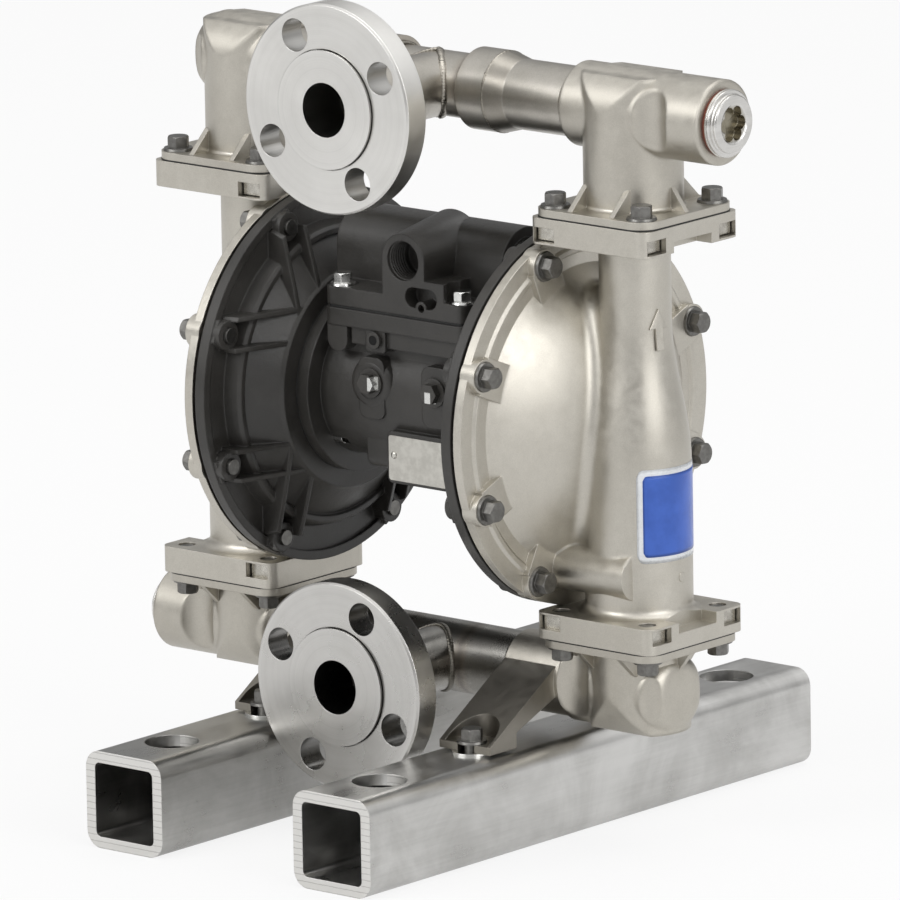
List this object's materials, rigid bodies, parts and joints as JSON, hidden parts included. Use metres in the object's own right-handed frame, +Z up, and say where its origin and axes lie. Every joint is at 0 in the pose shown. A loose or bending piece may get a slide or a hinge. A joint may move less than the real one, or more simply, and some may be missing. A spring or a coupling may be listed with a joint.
{
  "type": "air operated double diaphragm pump",
  "caption": "Metal double diaphragm pump on rail feet, with ball checks, sliding shaft, shuttle air valve and loose bolted pipe flanges.",
  "frame": {"origin": "on the floor, at the centre of the four floor bolt holes in the rails", "axes": "+X right along the diaphragm shaft, -Y out of the inlet and outlet flanges, +Z up"},
  "size_m": [0.384, 0.352, 0.4324],
  "materials": {
    "rail_aluminium": "mill finish, lightly brushed",
    "zinc_steel": "bright zinc plate",
    "bolt_steel": "dull dark grey",
    "cast_stainless": "bead blasted casting",
    "pipe_stainless": "satin tube with weld tint",
    "machined_stainless": "turned bright",
    "oring_red": "smooth",
    "elastomer_black": "moulded",
    "ball_rubber": "moulded",
    "seat_plastic": "turned",
    "black_coated_aluminium": "satin black coat",
    "plain_aluminium": "turned",
    "bearing_plastic": "moulded",
    "ceramic_plate": "ground flat"
  },
  "bodies": {
    "pump_frame": {"rail_left": "rail_aluminium", "rail_right": "rail_aluminium", "rail_rivet_nuts": "zinc_steel", "foot_bolts": "bolt_steel", "outlet_elbow_right": "cast_stainless", "outlet_elbow_left": "cast_stainless", "inlet_elbow_right": "cast_stainless", "inlet_elbow_left": "cast_stainless", "outlet_pipe": "pipe_stainless", "inlet_pipe": "pipe_stainless", "outlet_stub_end": "pipe_stainless", "inlet_stub_end": "pipe_stainless", "port_plugs": "machined_stainless", "port_plug_orings": "oring_red", "fluid_cover_right": "cast_stainless", "fluid_cover_left": "cast_stainless", "inlet_ball_seats": "seat_plastic", "outlet_ball_seats": "seat_plastic", "inlet_seat_orings": "elastomer_black", "outlet_seat_orings": "elastomer_black", "outlet_manifold_bolts": "bolt_steel", "inlet_manifold_bolts": "bolt_steel", "outlet_manifold_nuts": "bolt_steel", "inlet_manifold_nuts": "bolt_steel", "cover_bolts_right": "bolt_steel", "cover_bolts_left": "bolt_steel", "diaphragm_right": "elastomer_black", "diaphragm_left": "elastomer_black", "air_cover_right": "black_coated_aluminium", "air_cover_left": "black_coated_aluminium", "air_cover_gaskets": "elastomer_black", "air_cover_screws": "bolt_steel", "center_housing": "black_coated_aluminium", "shaft_bearings": "bearing_plastic", "shaft_seals": "elastomer_black", "pilot_valve_bodies": "bearing_plastic", "housing_plugs": "zinc_steel", "ground_screw": "zinc_steel", "muffler": "bearing_plastic", "air_valve_gasket": "elastomer_black", "air_valve_plate": "ceramic_plate", "air_valve_housing": "black_coated_aluminium", "air_valve_bolts": "zinc_steel", "air_valve_end_caps": "black_coated_aluminium", "air_valve_retaining_rings": "bolt_steel"},
    "diaphragm_rod": {"diaphragm_shaft": "machined_stainless", "fluid_side_plates": "machined_stainless", "air_side_plates": "plain_aluminium"},
    "inlet_ball_left": {"inlet_ball_left": "ball_rubber"},
    "inlet_ball_right": {"inlet_ball_right": "ball_rubber"},
    "outlet_ball_left": {"outlet_ball_left": "ball_rubber"},
    "outlet_ball_right": {"outlet_ball_right": "ball_rubber"},
    "air_valve_spool": {"valve_spool": "plain_aluminium", "valve_spool_seals": "elastomer_black", "air_valve_cup": "bearing_plastic"},
    "pilot_pin_left": {"pilot_pin_left": "machined_stainless"},
    "pilot_pin_right": {"pilot_pin_right": "machined_stainless"},
    "outlet_flange_ring": {"outlet_flange": "machined_stainless"},
    "inlet_flange_ring": {"inlet_flange": "machined_stainless"}
  },
  "joints": [
    {"name": "shaft_slide", "type": "slide", "parent": "pump_frame", "child": "diaphragm_rod", "axis": [1, 0, 0], "range_m": [-0.0095, 0.0095], "deforming": ["diaphragm_left", "diaphragm_right"]},
    {"name": "inlet_ball_left_lift", "type": "slide", "parent": "pump_frame", "child": "inlet_ball_left", "axis": [0, 0, 1], "range_m": [0, 0.008]},
    {"name": "inlet_ball_right_lift", "type": "slide", "parent": "pump_frame", "child": "inlet_ball_right", "axis": [0, 0, 1], "range_m": [0, 0.008]},
    {"name": "outlet_ball_left_lift", "type": "slide", "parent": "pump_frame", "child": "outlet_ball_left", "axis": [0, 0, 1], "range_m": [0, 0.008]},
    {"name": "outlet_ball_right_lift", "type": "slide", "parent": "pump_frame", "child": "outlet_ball_right", "axis": [0, 0, 1], "range_m": [0, 0.008]},
    {"name": "spool_slide", "type": "slide", "parent": "pump_frame", "child": "air_valve_spool", "axis": [1, 0, 0], "range_m": [-0.006, 0.006]},
    {"name": "pilot_pin_left_push", "type": "slide", "parent": "pump_frame", "child": "pilot_pin_left", "axis": [1, 0, 0], "range_m": [0, 0.003]},
    {"name": "pilot_pin_right_push", "type": "slide", "parent": "pump_frame", "child": "pilot_pin_right", "axis": [-1, 0, 0], "range_m": [0, 0.003]},
    {"name": "outlet_flange_turn", "type": "hinge", "parent": "pump_frame", "child": "outlet_flange_ring", "pos_m": [0, -0.082, 0.3784], "axis": [0, 1, 0], "continuous": true},
    {"name": "inlet_flange_turn", "type": "hinge", "parent": "pump_frame", "child": "inlet_flange_ring", "pos_m": [0, -0.082, 0.0797], "axis": [0, 1, 0], "continuous": true}
  ]
}
